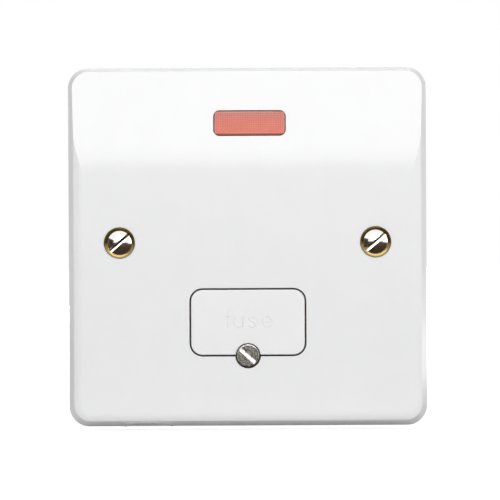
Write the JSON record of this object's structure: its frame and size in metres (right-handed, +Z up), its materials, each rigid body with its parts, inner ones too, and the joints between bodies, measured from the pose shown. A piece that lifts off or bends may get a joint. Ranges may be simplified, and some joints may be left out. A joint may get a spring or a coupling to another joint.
{
  "type": "fused spur unit",
  "caption": "Square white wall plate with a screwed-in fuse carrier, a red neon lens, rear screw terminals and a cord clamp; feeds one fixed appliance through a fuse.",
  "frame": {"origin": "midway between the two fixing screws, in the plane of the wall", "axes": "+X to the right seen from the front, +Y into the wall, +Z up"},
  "size_m": [0.086, 0.0263, 0.086],
  "materials": {
    "white_urea": "glossy moulded white",
    "white_carrier": "glossy moulded white",
    "white_nylon": "satin moulded white",
    "red_lens": "clear red, fine prismatic grid",
    "plated_brass": "bright brass plating",
    "raw_brass": "machined brass",
    "screw_brass": "plated, turned",
    "spring_bronze": "stamped bronze strip",
    "grey_steel": "dull plated, turned",
    "zinc_steel": "bright zinc plating",
    "bright_nickel": "nickel plating",
    "white_ceramic": "unglazed ceramic",
    "lamp_glass": "clear glass",
    "resistor_lacquer": "lacquered body with colour bands",
    "brown_pvc": "soft insulation",
    "blue_pvc": "soft insulation"
  },
  "bodies": {
    "base": {"front_plate": "white_urea", "fixing_screws": "plated_brass", "carrier_insert": "raw_brass", "rear_moulding": "white_nylon", "supply_contact": "spring_bronze", "load_contact": "spring_bronze", "live_load_terminal": "raw_brass", "neutral_terminal": "raw_brass", "earth_terminal": "raw_brass", "live_supply_terminal": "raw_brass", "assembly_screws": "zinc_steel", "neon_lens": "red_lens", "neon_holder": "white_nylon", "neon_lamp": "lamp_glass", "lamp_leads": "bright_nickel", "lamp_resistor": "resistor_lacquer", "live_lamp_wire": "brown_pvc", "neutral_lamp_wire": "blue_pvc"},
    "carrier": {"fuse_carrier": "white_carrier", "fuse_tube": "white_ceramic", "fuse_caps": "bright_nickel"},
    "carrier_screw": {"carrier_screw": "grey_steel"},
    "cord_clamp": {"cord_clamp": "white_nylon", "cord_clamp_screws": "zinc_steel"},
    "live_load_screw": {"live_load_screw": "screw_brass"},
    "neutral_load_screw": {"neutral_load_screw": "screw_brass"},
    "neutral_supply_screw": {"neutral_supply_screw": "screw_brass"},
    "earth_supply_screw": {"earth_supply_screw": "screw_brass"},
    "earth_load_screw": {"earth_load_screw": "screw_brass"},
    "live_supply_screw": {"live_supply_screw": "screw_brass"}
  },
  "joints": [
    {"name": "carrier_slide", "type": "slide", "parent": "base", "child": "carrier", "axis": [0, -1, 0], "range_m": [0, 0.03]},
    {"name": "carrier_screw_turn", "type": "hinge", "parent": "carrier", "child": "carrier_screw", "pos_m": [0, -0.0076, -0.02665], "axis": [0, -1, 0], "continuous": true},
    {"name": "cord_clamp_lift", "type": "slide", "parent": "base", "child": "cord_clamp", "axis": [0, 1, 0], "range_m": [0, 0.004]},
    {"name": "live_load_screw_travel", "type": "slide", "parent": "base", "child": "live_load_screw", "axis": [0, -1, 0], "range_m": [0, 0.0034]},
    {"name": "neutral_load_screw_travel", "type": "slide", "parent": "base", "child": "neutral_load_screw", "axis": [0, -1, 0], "range_m": [0, 0.0034]},
    {"name": "neutral_supply_screw_travel", "type": "slide", "parent": "base", "child": "neutral_supply_screw", "axis": [0, -1, 0], "range_m": [0, 0.0034]},
    {"name": "earth_supply_screw_travel", "type": "slide", "parent": "base", "child": "earth_supply_screw", "axis": [0, -1, 0], "range_m": [0, 0.0034]},
    {"name": "earth_load_screw_travel", "type": "slide", "parent": "base", "child": "earth_load_screw", "axis": [0, -1, 0], "range_m": [0, 0.0034]},
    {"name": "live_supply_screw_travel", "type": "slide", "parent": "base", "child": "live_supply_screw", "axis": [0, -1, 0], "range_m": [0, 0.0034]}
  ]
}
